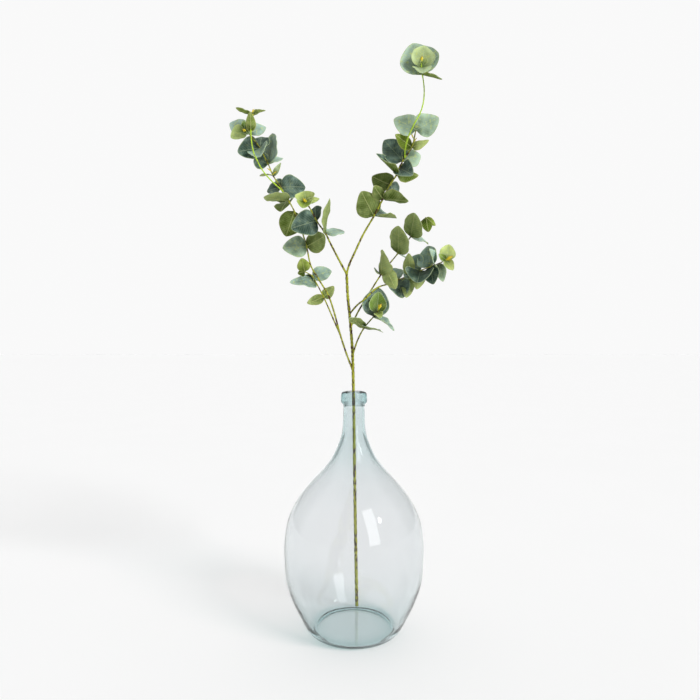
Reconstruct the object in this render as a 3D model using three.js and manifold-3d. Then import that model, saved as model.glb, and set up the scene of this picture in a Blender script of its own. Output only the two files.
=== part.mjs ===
// Eucalyptus branch standing in a glass demijohn bottle.
// Millimetres, +Z up, origin at the centre of the bottle's foot on the floor, viewer on the -Y side.
import * as THREE from "three";
import * as BufferGeometryUtils from "three/addons/utils/BufferGeometryUtils.js";
import Module from "manifold-3d";

const wasm = await Module();
wasm.setup();

// Clearance between pieces that touch
const FIT_GAP = 0.3;

// Bottle: key sizes
const BOTTLE_HEIGHT = 430;
const FOOT_RADIUS = 66;
const BELLY_RADIUS = 125;
const NECK_RADIUS = 19.4;
const LIP_RADIUS = 23.8;
const MOUTH_RADIUS = 14.8;
const FLOOR_THICKNESS = 8;
const BOTTLE_SEGMENTS = 28;

// Bottle: radius and height of points up the outside, from the foot to the top of the lip
const OUTSIDE = [
  [FOOT_RADIUS, 0],
  [77, 4],
  [87, 13],
  [97, 31],
  [111, 60],
  [121.5, 92],
  [BELLY_RADIUS, 130],
  [BELLY_RADIUS, 162],
  [118.5, 201],
  [102, 235],
  [78.4, 265],
  [55, 290],
  [39.8, 310],
  [30, 330],
  [23, 350],
  [20, 370],
  [NECK_RADIUS, 390],
  [NECK_RADIUS, 405],
];
const LIP = [
  [20.6, 407.5],
  [23.2, 410.5],
  [LIP_RADIUS, 415],
  [22.8, 426],
  [21, 429.3],
  [19, BOTTLE_HEIGHT],
  [17, 429.4],
  [15.4, 427],
];

// Bottle: radius and height of points down the inside, from the mouth to the glass floor
const INSIDE = [
  [MOUTH_RADIUS, 421],
  [MOUTH_RADIUS, 390],
  [15.6, 370],
  [18.8, 350],
  [26, 330],
  [35.6, 310],
  [50.8, 290],
  [74.4, 265],
  [98.5, 235],
  [115.3, 201],
  [122, 162],
  [122, 130],
  [118.4, 93],
  [108, 62],
  [93.4, 34],
  [83, 19],
  [74, 10.5],
  [62, FLOOR_THICKNESS],
];

// Leaf blade: round and stalkless, widest before its middle, with a blunt tip
const BLADE_THICKNESS = 0.9;
const BLADE_WIDTH = 0.88;
const BLADE_WIDTH_SPREAD = 0.07;
const BLADE_CUP = 0.2;
const BLADE_CUP_SPREAD = 0.16;
const BLADE_ARCH = 0.03;
const BLADE_ARCH_SPREAD = 0.05;
const BLADE_WAVE = 0.035;
const BLADE_FULLNESS = 0.7;
const BLADE_SHOULDER = 0.66;
const BLADE_STATIONS = 5;
const BLADE_LANES = 4;

// Stems and buds
const STEM_SIDES = 6;
const STEM_STEPS_PER_NODE = 2;
const BUD_RADIUS = 2.1;
const BUD_SIDES = 6;

// Ways that the upper side of a leaf can be turned
const FRONT = [0, -1, 0];
const BACK = [0, 1, 0];
const TILTED = [0, -0.7, 0.7];
const LEFT = [-0.7, -0.7, 0.2];
const RIGHT = [0.8, 0.5, 0.2];
const UP = [0, 0, 1];
const RIGHT_UP = [0.75, -0.35, 0.55];
const FRONT_UP = [0, -0.4, 0.9];
const BACK_UP = [0, 0.4, 0.9];

// A leaf: from its root on the stem to its tip, the way its upper side is turned, which is the way the
// stem grows where none is given, its width against a common leaf of that length, and its extra cup
const leaf = (x, y, z, faces = null, breadth = 1, fold = 0) => ({
  tip: new THREE.Vector3(x, y, z),
  faces,
  breadth,
  fold,
});

// A node of a stem: its place and the leaves that grow there
const node = (x, y, z, ...leaves) => ({ place: new THREE.Vector3(x, y, z), leaves });

// The stems, each with its radius at root and end, the length of its end bud, and its nodes
const STEMS = [
  {
    name: "main_stem",
    finish: "bark",
    radius: [3.2, 2.4],
    bud: 0,
    clears: [],
    nodes: [
      node(6, 67.5, 9.7),
      node(2, 29, 226),
      node(-1, -12, 432),
      node(-3, -27, 504),
      node(-6, -34, 545),
      node(-8, -37, 568),
      node(-11, -40, 597),
      node(-13, -42, 637),
    ],
  },
  {
    name: "spray_left_fork",
    finish: "leaf",
    radius: [1.9, 1.1],
    bud: 9,
    clears: ["main_stem"],
    nodes: [
      node(-13, -42, 637),
      node(-23, -44, 655),
      node(-42, -50, 691),
      node(-49, -53, 705, leaf(31, 30, 10, TILTED, 0.8), leaf(8, -24, 54, null, 0.85)),
      node(-64, -60, 725, leaf(-42, -14, -16, FRONT, 1.1), leaf(-4, 25, 31)),
      node(-75, -68, 745),
      node(
        -81, -78, 753,
        leaf(-3, 7, 20, FRONT, 1.7, 0.25),
        leaf(23, -2, 5, FRONT, 0.55),
        leaf(-4, -15, -14, TILTED, 1.5, 0.3),
      ),
    ],
  },
  {
    name: "spray_right_fork",
    finish: "leaf",
    radius: [1.9, 1.1],
    bud: 0,
    clears: ["main_stem", "spray_left_fork"],
    nodes: [
      node(-13, -42, 637),
      node(-9, -43, 652),
      node(2, -46, 676),
      node(16, -50, 705),
      node(34, -55, 735, leaf(-22, -22, 36, BACK, 1.05), leaf(40, 18, 0, FRONT_UP, 1.2, 0.3)),
      node(49, -60, 763, leaf(42, -16, -8, BACK_UP, 0.95, 0.3), leaf(-16, -18, 17, BACK, 0.85)),
      node(61, -64, 786, leaf(-30, 16, 19, BACK, 1.15), leaf(14, 30, -12, FRONT, 0.9)),
      node(72, -68, 802, leaf(-36, -24, 27, RIGHT_UP, 0.75, 0.35), leaf(41, 36, 10, BACK, 0.5)),
      node(76, -70, 812, leaf(20, -26, -20, FRONT, 1, 0.2), leaf(26, 10, 8, TILTED, 0.6)),
      node(82, -72, 824, leaf(-31, 10, 38, FRONT, 0.95), leaf(32, 20, 16, FRONT, 0.95)),
      node(96, -80, 844, leaf(-29, -20, 14, BACK, 0.62), leaf(31, 16, 18, BACK, 0.42)),
      node(101, -98, 866, leaf(-35, 10, 22, FRONT, 1.05), leaf(38, 6, 23, FRONT)),
    ],
  },
  {
    name: "shoot_right_top",
    finish: "youngLeaf",
    radius: [1.2, 0.9],
    bud: 8,
    clears: ["spray_right_fork"],
    nodes: [
      node(85, -74, 828),
      node(84, -88, 836),
      node(87, -112, 849),
      node(96, -124, 867),
      node(105, -122, 884),
      node(111, -115, 904),
      node(113, -110, 928),
      node(110, -112, 950, leaf(-15, 6, 54, FRONT, 1.2, 0.15), leaf(27, -28, -20, UP, 0.7)),
      node(
        107, -122, 957,
        leaf(5, 3, 36, FRONT, 1.15, 0.15),
        leaf(8, -5, 14, FRONT, 0.9),
        leaf(-1, -18, -18, TILTED, 1.3),
      ),
      node(107, -124, 966),
    ],
  },
  {
    name: "spray_right_upper",
    finish: "leaf",
    radius: [1.6, 0.9],
    bud: 0,
    clears: ["main_stem"],
    nodes: [
      node(-6, -34, 545),
      node(7, -34, 572),
      node(20, -32, 594),
      node(47, -32, 637, leaf(1, -24, 40, RIGHT, 0.9, 0.25), leaf(-4, 34, 6)),
      node(56, -32, 649, leaf(14, -30, -40, BACK, 0.55)),
      node(77, -28, 675, leaf(-1, -30, 42, null, 1.15), leaf(8, 44, 8)),
      node(100, -26, 705, leaf(3, -33, 34, null, 1.05), leaf(34, 27, -8, TILTED)),
      node(116, -28, 729),
      node(126, -34, 737, leaf(3, -10, -27, BACK, 0.75), leaf(16, -4, -15, BACK, 0.6)),
    ],
  },
  {
    name: "spray_right_middle",
    finish: "leaf",
    radius: [1.6, 0.9],
    bud: 14,
    clears: ["main_stem"],
    nodes: [
      node(-8, -37, 568),
      node(5, -52, 582),
      node(17, -62, 591),
      node(39, -48, 612),
      node(63, -18, 623),
      node(78, -12, 630, leaf(6, -30, -35, FRONT), leaf(-12, 34, 24, FRONT)),
      node(99, -16, 638, leaf(-5, -32, 34, BACK, 0.5), leaf(-9, -30, -42, BACK, 0.5)),
      node(
        117, -26, 645,
        leaf(-26, 22, 16, FRONT, 1.5, 0.2),
        leaf(-10, -38, -26, FRONT_UP, 1.3, 0.35),
        leaf(-8, -12, -34, BACK, 0.75),
      ),
      node(134, -36, 651, leaf(-4, 16, 38, LEFT, 1.2), leaf(4, -8, -32, LEFT, 1.1)),
      node(140, -40, 653, leaf(-14, -32, 22, null, 0.8)),
      node(147, -44, 655, leaf(9, 12, -30, FRONT, 0.65)),
      node(
        158, -52, 660,
        leaf(7, 9, 28, FRONT),
        leaf(11, -8, -19, FRONT, 0.8),
        leaf(-14, -8, 9, FRONT, 0.8),
      ),
    ],
  },
  {
    name: "spray_right_lower",
    finish: "leaf",
    radius: [1.6, 0.9],
    bud: 10,
    clears: ["main_stem"],
    nodes: [
      node(-2, -27, 498),
      node(6, -36, 522),
      node(17, -42, 543, leaf(-26, -32, 16, BACK_UP, 0.6), leaf(31, -27, -8)),
      node(34, -47, 563, leaf(8, 10, 51, FRONT, 1.1, 0.15), leaf(33, -24, -26, UP, 0.65)),
      node(39, -55, 569, leaf(3, 2, 36, FRONT, 1, 0.15), leaf(6, -16, -10, TILTED)),
      node(42, -61, 576),
    ],
  },
  {
    name: "spray_left_long",
    finish: "leaf",
    radius: [1.7, 0.9],
    bud: 7,
    clears: ["main_stem"],
    nodes: [
      node(-2, -20, 468),
      node(-14, -30, 500),
      node(-24, -36, 531),
      node(-37, -43, 578),
      node(-45, -45, 600),
      node(-61, -46, 627),
      node(-75, -44, 651),
      node(-83, -38, 686, leaf(-40, -16, -6, FRONT, 0.95), leaf(33, -24, 14, BACK)),
      node(-94, -28, 720),
      node(-106, -22, 751, leaf(-14, -8, -46, BACK, 1.05)),
      node(-116, -20, 770, leaf(-40, -28, -1, null, 0.85), leaf(-18, 39, -10)),
      node(
        -130, -20, 794,
        leaf(42, 16, 4, FRONT),
        leaf(-27, 20, -2, FRONT, 0.75),
        leaf(-8, 14, 19, FRONT, 0.75),
      ),
      node(-143, -24, 813, leaf(15, -10, 20, FRONT, 0.45), leaf(-26, 12, 3, UP, 0.5)),
      node(
        -151, -30, 832,
        leaf(24, 18, 16, TILTED, 0.75),
        leaf(-27, 12, 12, FRONT, 1.1),
        leaf(7, 6, 56, LEFT, 1.15),
      ),
      node(
        -165, -36, 858,
        leaf(-38, -4, -8, FRONT, 1.2, 0.2),
        leaf(0, 24, 28, FRONT, 1.1),
        leaf(6, -30, -25, null, 1.2),
      ),
      node(-170, -41, 865),
      node(-182, -52, 878, leaf(-34, 12, 22, FRONT, 0.8), leaf(27, 20, 18, FRONT, 0.75)),
      node(
        -186, -60, 879,
        leaf(-24, -4, -13, FRONT, 1.15, 0.25),
        leaf(-3, 2, 18, FRONT, 0.75),
        leaf(7, -5, -8, FRONT),
      ),
    ],
  },
  {
    name: "shoot_left_top",
    finish: "youngLeaf",
    radius: [1.2, 0.9],
    bud: 12,
    clears: ["spray_left_long"],
    nodes: [
      node(-120, -20, 776),
      node(-127, -38, 784),
      node(-143, -50, 797),
      node(-156, -60, 811),
      node(-165, -72, 827),
      node(-169, -82, 838),
      node(-172, -86, 868, leaf(0, -8, 30, BACK, 0.65)),
      node(-170, -82, 897, leaf(-27, -5, 10, null, 0.7), leaf(21, 6, 10, null, 0.7)),
    ],
  },
  {
    name: "spray_left_short",
    finish: "leaf",
    radius: [1.5, 0.9],
    bud: 0,
    clears: ["spray_left_long"],
    nodes: [
      node(-24, -36, 531),
      node(-36, -30, 558),
      node(-45, -24, 579),
      node(-54, -20, 599, leaf(-28, -14, -12, BACK, 0.65), leaf(18, 14, 21, BACK, 0.72)),
      node(-66, -18, 622, leaf(-47, -12, 2, TILTED, 0.8)),
      node(-74, -20, 636, leaf(33, 22, 12, FRONT, 0.75), leaf(-8, 18, -6, FRONT)),
      node(-87, -30, 643, leaf(-4, -10, 22, BACK, 1.15), leaf(-13, 8, -2, BACK, 1.1)),
    ],
  },
];

const FINISHES = {
  glass: { color: "#c9dcd8", roughness: 0.05, metalness: 0 },
  bark: { color: "#8b8a4c", roughness: 0.7, metalness: 0 },
  leaf: { color: "#7d9a8a", roughness: 0.6, metalness: 0 },
  youngLeaf: { color: "#a3bb86", roughness: 0.6, metalness: 0 },
};

// A geometry as a solid that can be joined and cut
function solidOf(geometry) {
  geometry.deleteAttribute("normal");
  geometry.deleteAttribute("uv");
  const welded = BufferGeometryUtils.mergeVertices(geometry, 1e-4);
  return new wasm.Manifold(new wasm.Mesh({
    numProp: 3,
    vertProperties: new Float32Array(welded.attributes.position.array),
    triVerts: new Uint32Array(welded.index.array),
  }));
}

// A solid as a named mesh with its finish
function meshOf(name, solid, finish) {
  const { vertProperties, triVerts } = solid.getMesh();
  const geometry = new THREE.BufferGeometry();
  geometry.setAttribute("position", new THREE.BufferAttribute(vertProperties, 3));
  geometry.setIndex(new THREE.BufferAttribute(triVerts, 1));
  geometry.computeVertexNormals();
  const mesh = new THREE.Mesh(geometry, new THREE.MeshStandardMaterial(FINISHES[finish]));
  mesh.name = name;
  return mesh;
}

// A repeatable number from -1 to 1 for one trait of one leaf
function vary(index, trait) {
  const wave = Math.sin(index * 12.9898 + trait * 78.233) * 43758.5453;
  return 2 * (wave - Math.floor(wave)) - 1;
}

// The largest body of a solid
function mainBody(solid) {
  return solid.decompose().reduce((best, body) => (body.volume() > best.volume() ? body : best));
}

// The turned glass wall, from the foot round the lip to the floor inside
function bottleSolid() {
  const points = [[0, 0], ...OUTSIDE, ...LIP, ...INSIDE, [0, FLOOR_THICKNESS]];
  const profile = points.map(([radius, height]) => new THREE.Vector2(radius, height));
  return solidOf(new THREE.LatheGeometry(profile, BOTTLE_SEGMENTS).rotateX(Math.PI / 2));
}

// The smooth line of a stem through its nodes
function lineOf(stem) {
  return new THREE.CatmullRomCurve3(stem.nodes.map(({ place }) => place));
}

// The tapering round stem, closed at both ends, thickened all round by the given allowance
function stemSolid(stem, allowance = 0) {
  const line = lineOf(stem);
  const steps = (stem.nodes.length - 1) * STEM_STEPS_PER_NODE;
  const frames = line.computeFrenetFrames(steps);
  const [rootRadius, endRadius] = stem.radius;
  const positions = [];
  const index = [];
  for (let i = 0; i <= steps; i += 1) {
    const beyond = allowance * ((i === steps ? 1 : 0) - (i === 0 ? 1 : 0));
    const centre = line.getPointAt(i / steps).addScaledVector(frames.tangents[i], beyond);
    const radius = THREE.MathUtils.lerp(rootRadius, endRadius, i / steps) + allowance;
    for (let j = 0; j < STEM_SIDES; j += 1) {
      const angle = (j / STEM_SIDES) * 2 * Math.PI;
      const point = centre.clone()
        .addScaledVector(frames.normals[i], radius * Math.cos(angle))
        .addScaledVector(frames.binormals[i], radius * Math.sin(angle));
      positions.push(...point);
    }
  }
  for (let i = 0; i < steps; i += 1) {
    for (let j = 0; j < STEM_SIDES; j += 1) {
      const a = i * STEM_SIDES + j;
      const b = i * STEM_SIDES + ((j + 1) % STEM_SIDES);
      index.push(a, b, b + STEM_SIDES, a, b + STEM_SIDES, a + STEM_SIDES);
    }
  }
  const last = steps * STEM_SIDES;
  for (let j = 1; j < STEM_SIDES - 1; j += 1) {
    index.push(0, j + 1, j, last, last + j, last + j + 1);
  }
  return solidOf(geometryOf(positions, index));
}

// A geometry from points and triangles
function geometryOf(positions, index) {
  const geometry = new THREE.BufferGeometry();
  geometry.setAttribute("position", new THREE.Float32BufferAttribute(positions, 3));
  geometry.setIndex(index);
  return geometry;
}

// Half the width of a blade at a share of its length, as a share of its half width at the widest
function outlineAt(along) {
  return Math.sin(Math.PI * along ** BLADE_SHOULDER) ** BLADE_FULLNESS;
}

// One cupped and gently waved blade, rooted on the axis of its stem
function leafSolid(place, growth, { tip, faces, breadth, fold }, count) {
  const length = tip.length();
  const midrib = tip.clone().normalize();
  const upper = faces ? new THREE.Vector3(...faces) : growth.clone();
  upper.addScaledVector(midrib, -upper.dot(midrib)).normalize();
  const side = upper.clone().cross(midrib);
  const half = breadth * (length / 2) * (BLADE_WIDTH + BLADE_WIDTH_SPREAD * vary(count, 1));
  const cup = BLADE_CUP + BLADE_CUP_SPREAD * vary(count, 2) + fold;
  const arch = BLADE_ARCH + BLADE_ARCH_SPREAD * vary(count, 3);
  const phase = Math.PI * vary(count, 4);
  const pointAt = (along, across, rise) => {
    const reach = across * outlineAt(along);
    const height = cup * half * reach ** 2
      + arch * length * 4 * along * (1 - along)
      + BLADE_WAVE * length * reach * Math.sin(2 * Math.PI * along + phase);
    return place.clone()
      .addScaledVector(midrib, along * length)
      .addScaledVector(side, reach * half)
      .addScaledVector(upper, height + rise);
  };
  const positions = [];
  const lanes = BLADE_LANES + 1;
  const faceSize = (BLADE_STATIONS - 1) * lanes + 2;
  for (const rise of [BLADE_THICKNESS / 2, -BLADE_THICKNESS / 2]) {
    positions.push(...pointAt(0, 0, rise));
    for (let i = 1; i < BLADE_STATIONS; i += 1) {
      const along = (1 - Math.cos((Math.PI * i) / BLADE_STATIONS)) / 2;
      for (let j = 0; j < lanes; j += 1) {
        positions.push(...pointAt(along, (2 * j) / BLADE_LANES - 1, rise));
      }
    }
    positions.push(...pointAt(1, 0, rise));
  }
  const at = (i, j) => 1 + (i - 1) * lanes + j;
  const top = [];
  for (let j = 0; j < BLADE_LANES; j += 1) {
    top.push([0, at(1, j), at(1, j + 1)]);
    for (let i = 1; i < BLADE_STATIONS - 1; i += 1) {
      top.push([at(i, j), at(i + 1, j), at(i + 1, j + 1)], [at(i, j), at(i + 1, j + 1), at(i, j + 1)]);
    }
    top.push([at(BLADE_STATIONS - 1, j), faceSize - 1, at(BLADE_STATIONS - 1, j + 1)]);
  }
  const rim = [0];
  for (let i = 1; i < BLADE_STATIONS; i += 1) {
    rim.push(at(i, 0));
  }
  rim.push(faceSize - 1);
  for (let i = BLADE_STATIONS - 1; i > 0; i -= 1) {
    rim.push(at(i, BLADE_LANES));
  }
  const index = [];
  for (const [a, b, c] of top) {
    index.push(a, b, c, faceSize + a, faceSize + c, faceSize + b);
  }
  rim.forEach((a, i) => {
    const b = rim[(i + 1) % rim.length];
    index.push(b, a, faceSize + a, b, faceSize + a, faceSize + b);
  });
  return solidOf(geometryOf(positions, index));
}

// The pointed bud at the end of a shoot
function budSolid(place, growth, length) {
  const profile = [
    new THREE.Vector2(0, -length * 0.2),
    new THREE.Vector2(BUD_RADIUS, length * 0.2),
    new THREE.Vector2(BUD_RADIUS * 0.7, length * 0.6),
    new THREE.Vector2(0, length),
  ];
  const geometry = new THREE.LatheGeometry(profile, BUD_SIDES);
  const turn = new THREE.Quaternion().setFromUnitVectors(new THREE.Vector3(0, 1, 0), growth);
  geometry.applyQuaternion(turn).translate(...place);
  return solidOf(geometry);
}

const group = new THREE.Group();
group.name = "eucalyptus_branch_in_bottle";
group.add(meshOf("bottle", bottleSolid(), "glass"));

const stemByName = Object.fromEntries(STEMS.map((stem) => [stem.name, stem]));
let leafCount = 0;
for (const stem of STEMS) {
  const line = lineOf(stem);
  const lastNode = stem.nodes.length - 1;
  let solid = stemSolid(stem);
  stem.nodes.forEach(({ place, leaves }, i) => {
    const growth = line.getTangent(i / lastNode);
    for (const blade of leaves) {
      leafCount += 1;
      solid = solid.add(leafSolid(place, growth, blade, leafCount));
    }
  });
  if (stem.bud > 0) {
    solid = solid.add(budSolid(stem.nodes[lastNode].place, line.getTangent(1), stem.bud));
  }
  for (const name of stem.clears) {
    solid = solid.subtract(stemSolid(stemByName[name], FIT_GAP));
  }
  group.add(meshOf(stem.name, mainBody(solid), stem.finish));
}

export default group;
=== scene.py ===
"""A eucalyptus branch standing in a pale glass bottle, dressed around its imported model."""

import logging
import math
from dataclasses import dataclass, field
from enum import Enum, IntEnum

import bpy
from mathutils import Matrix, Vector

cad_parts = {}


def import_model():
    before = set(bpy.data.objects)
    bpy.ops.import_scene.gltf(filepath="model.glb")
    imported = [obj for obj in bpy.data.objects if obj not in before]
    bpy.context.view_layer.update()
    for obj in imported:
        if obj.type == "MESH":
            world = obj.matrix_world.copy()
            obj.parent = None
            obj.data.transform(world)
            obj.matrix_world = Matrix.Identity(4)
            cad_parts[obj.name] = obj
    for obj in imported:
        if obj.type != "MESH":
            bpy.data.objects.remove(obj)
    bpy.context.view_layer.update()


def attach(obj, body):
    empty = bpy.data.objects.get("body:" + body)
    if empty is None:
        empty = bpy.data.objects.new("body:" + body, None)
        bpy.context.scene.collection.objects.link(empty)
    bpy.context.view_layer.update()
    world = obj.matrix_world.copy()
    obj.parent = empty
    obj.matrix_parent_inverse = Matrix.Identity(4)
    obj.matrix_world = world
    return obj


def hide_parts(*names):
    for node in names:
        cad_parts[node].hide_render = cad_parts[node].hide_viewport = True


LOG = logging.getLogger("eucalyptus")

MM = 0.001
BODY = "root"

# How far a side vein climbs the leaf for each step that it takes away from the midrib
VEIN_CLIMB = 0.8

Point = tuple[float, float, float]
Ring = tuple[float, float]


class Facing(Enum):
    """The way a leaf's upper face is turned; GROWTH turns it to the stem's tip."""

    GROWTH = None
    FRONT = (0.0, -1.0, 0.0)
    BACK = (0.0, 1.0, 0.0)
    TILTED = (0.0, -0.7, 0.7)
    LEFT = (-0.7, -0.7, 0.2)
    RIGHT = (0.8, 0.5, 0.2)
    UP = (0.0, 0.0, 1.0)
    RIGHT_UP = (0.75, -0.35, 0.55)
    FRONT_UP = (0.0, -0.4, 0.9)
    BACK_UP = (0.0, 0.4, 0.9)


class Form(IntEnum):
    """What a point of a spray's skeleton grows into."""

    STEM = 0
    LEAF = 1
    BUD = 2


# ---------------------------------------------------------------- small helpers


def linear(colour: str) -> tuple[float, float, float, float]:
    """Turns an sRGB hex colour to linear light.

    Args:
        colour: The colour as "#rrggbb".

    Returns:
        Linear red, green and blue, and an alpha of one.
    """
    shares = [int(colour[i : i + 2], 16) / 255 for i in (1, 3, 5)]
    lit = [c / 12.92 if c <= 0.04045 else ((c + 0.055) / 1.055) ** 2.4 for c in shares]
    return (lit[0], lit[1], lit[2], 1.0)


def add_node(
    tree: bpy.types.NodeTree,
    kind: str,
    settings: dict[str, object] | None = None,
    feeds: dict[str | int, object] | None = None,
) -> bpy.types.Node:
    """Adds one node with its settings, constants and links.

    Args:
        tree: The tree that gets the node.
        kind: The node's type name.
        settings: Attributes of the node, set before its sockets are used.
        feeds: Input sockets by name or number, each with a constant, a node or a socket.

    Returns:
        The new node.
    """
    node = tree.nodes.new(kind)
    for key, value in (settings or {}).items():
        setattr(node, key, value)
    for key, value in (feeds or {}).items():
        if isinstance(value, bpy.types.Node):
            tree.links.new(value.outputs[0], node.inputs[key])
        elif isinstance(value, bpy.types.NodeSocket):
            tree.links.new(value, node.inputs[key])
        else:
            node.inputs[key].default_value = value
    return node


def new_material(name: str) -> tuple[bpy.types.Material, bpy.types.NodeTree]:
    """Makes a material with an empty tree.

    Args:
        name: The material's name.

    Returns:
        The material and its tree.
    """
    made = bpy.data.materials.new(name)
    made.use_nodes = True
    made.node_tree.nodes.clear()
    return made, made.node_tree


def vary(index: int, kind: int) -> float:
    """Gives a steady number from -1 to 1 for one leaf and one of its habits.

    Args:
        index: The leaf's number along the whole branch.
        kind: Which habit the number is for.

    Returns:
        The number, the same in every run.
    """
    wave = math.sin(index * 12.9898 + kind * 78.233) * 43758.5453
    return 2 * (wave - math.floor(wave)) - 1


def smooth_line(points: list[Vector], steps: int) -> list[Vector]:
    """Runs a centripetal Catmull-Rom line through points.

    Args:
        points: The points that the line passes.
        steps: How many short runs each span is cut into.

    Returns:
        The points of the fine line, ends included.
    """
    ends = [2 * points[0] - points[1], *points, 2 * points[-1] - points[-2]]
    line = []
    for i in range(len(points) - 1):
        before, start, stop, after = ends[i : i + 4]
        gaps = [math.sqrt((b - a).length) for a, b in ((before, start), (start, stop), (stop, after))]
        leave = slope_at(before, start, stop, gaps[0], gaps[1]) * gaps[1]
        reach = slope_at(start, stop, after, gaps[1], gaps[2]) * gaps[1]
        for j in range(steps):
            t = j / steps
            line.append(
                start * (2 * t**3 - 3 * t**2 + 1)
                + leave * (t**3 - 2 * t**2 + t)
                + stop * (3 * t**2 - 2 * t**3)
                + reach * (t**3 - t**2)
            )
    return [*line, points[-1]]


def slope_at(before: Vector, here: Vector, after: Vector, gap_in: float, gap_out: float) -> Vector:
    """Gives the line's direction at a point between two others.

    Args:
        before: The point before it.
        here: The point itself.
        after: The point after it.
        gap_in: Root of the distance from the point before.
        gap_out: Root of the distance to the point after.

    Returns:
        The slope of the centripetal line there.
    """
    return (here - before) / gap_in - (after - before) / (gap_in + gap_out) + (after - here) / gap_out


# ------------------------------------------------------------------- finishes


@dataclass(frozen=True)
class GlassFinish:
    """Hand-blown recycled glass: clear in a thin wall, blue-green where it is thick."""

    name: str = "Recycled blown glass"
    tint: str = "#aed9d9"
    density: float = 60.0
    skin: str = "#fcfafb"
    shade: str = "#fdfbfb"
    ripple_mm: float = 55.0
    ior: float = 1.5

    def material(self) -> bpy.types.Material:
        """Builds the glass, with slow waves that bend what shows through it.

        Returns:
            The material.
        """
        # Bottle glass with a trace of iron looks clear in the thin belly and blue-green in the lip and base.
        made, tree = new_material(self.name)
        place = add_node(tree, "ShaderNodeTexCoord")
        # Blown glass sags a little as it cools: waves a few centimetres long, very shallow.
        waves = add_node(
            tree,
            "ShaderNodeTexNoise",
            None,
            {"Vector": place.outputs["Object"], "Scale": 1 / (self.ripple_mm * MM), "Detail": 1.0},
        )
        bent = add_node(
            tree,
            "ShaderNodeBump",
            None,
            {"Height": waves.outputs["Fac"], "Strength": 0.12, "Distance": 4 * MM},
        )
        glass = add_node(
            tree,
            "ShaderNodeBsdfPrincipled",
            None,
            {
                "Base Color": linear(self.skin),
                "Roughness": 0.0,
                "IOR": self.ior,
                "Transmission Weight": 1.0,
                "Normal": bent,
            },
        )
        # Lamps and the room shine on through the wall, a little weaker, so the bottle's shadow stays pale.
        path = add_node(tree, "ShaderNodeLightPath")
        lit = add_node(
            tree,
            "ShaderNodeMath",
            {"operation": "MAXIMUM"},
            {0: path.outputs["Is Shadow Ray"], 1: path.outputs["Is Diffuse Ray"]},
        )
        clear = add_node(tree, "ShaderNodeBsdfTransparent", None, {"Color": linear(self.shade)})
        mixed = add_node(tree, "ShaderNodeMixShader", None, {0: lit, 1: glass, 2: clear})
        body = add_node(
            tree,
            "ShaderNodeVolumeAbsorption",
            None,
            {"Color": linear(self.tint), "Density": self.density},
        )
        add_node(tree, "ShaderNodeOutputMaterial", None, {"Surface": mixed, "Volume": body})
        return made


@dataclass(frozen=True)
class StemFinish:
    """Smooth young bark, olive green with brown flecks and paler streaks."""

    name: str
    bark: str
    pale: str
    fleck: str
    flecks: float
    fleck_mm: float = 4.5
    streak_mm: float = 9.0
    roughness: float = 0.52

    def material(self) -> bpy.types.Material:
        """Builds the bark from slow streaks, small flecks and a fine grain.

        Returns:
            The material.
        """
        # Young bark under a thin wax has a satin look, green with brown flecks, and never a hard gloss.
        made, tree = new_material(self.name)
        place = add_node(tree, "ShaderNodeTexCoord")
        # Flecks are drawn about twice their real size, and long in height as streaks run up the stem.
        drawn = add_node(
            tree,
            "ShaderNodeMapping",
            None,
            {"Vector": place.outputs["Object"], "Scale": (1.0, 1.0, 0.5)},
        )
        streak = add_node(
            tree,
            "ShaderNodeTexNoise",
            None,
            {"Vector": drawn, "Scale": 1 / (self.streak_mm * MM), "Detail": 3.0},
        )
        speck = add_node(
            tree,
            "ShaderNodeTexNoise",
            None,
            {"Vector": drawn, "Scale": 1 / (self.fleck_mm * MM), "Detail": 2.0},
        )
        spotted = add_node(
            tree,
            "ShaderNodeMapRange",
            {"interpolation_type": "SMOOTHSTEP"},
            {
                "Value": speck.outputs["Fac"],
                "From Min": 0.62 - 0.2 * self.flecks,
                "From Max": 0.7 - 0.2 * self.flecks,
            },
        )
        green = add_node(
            tree,
            "ShaderNodeMix",
            {"data_type": "RGBA"},
            {0: streak.outputs["Fac"], 6: linear(self.bark), 7: linear(self.pale)},
        )
        flecked = add_node(
            tree,
            "ShaderNodeMix",
            {"data_type": "RGBA"},
            {0: spotted.outputs["Result"], 6: green.outputs[2], 7: linear(self.fleck)},
        )
        grain = add_node(
            tree,
            "ShaderNodeBump",
            None,
            {"Height": speck.outputs["Fac"], "Strength": 0.5, "Distance": 0.4 * MM},
        )
        shine = add_node(
            tree,
            "ShaderNodeMapRange",
            None,
            {
                "Value": streak.outputs["Fac"],
                "To Min": self.roughness - 0.1,
                "To Max": self.roughness + 0.12,
            },
        )
        bark = add_node(
            tree,
            "ShaderNodeBsdfPrincipled",
            None,
            {
                "Base Color": flecked.outputs[2],
                "Roughness": shine.outputs["Result"],
                "Normal": grain,
                "IOR": 1.45,
            },
        )
        add_node(tree, "ShaderNodeOutputMaterial", None, {"Surface": bark})
        return made


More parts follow.
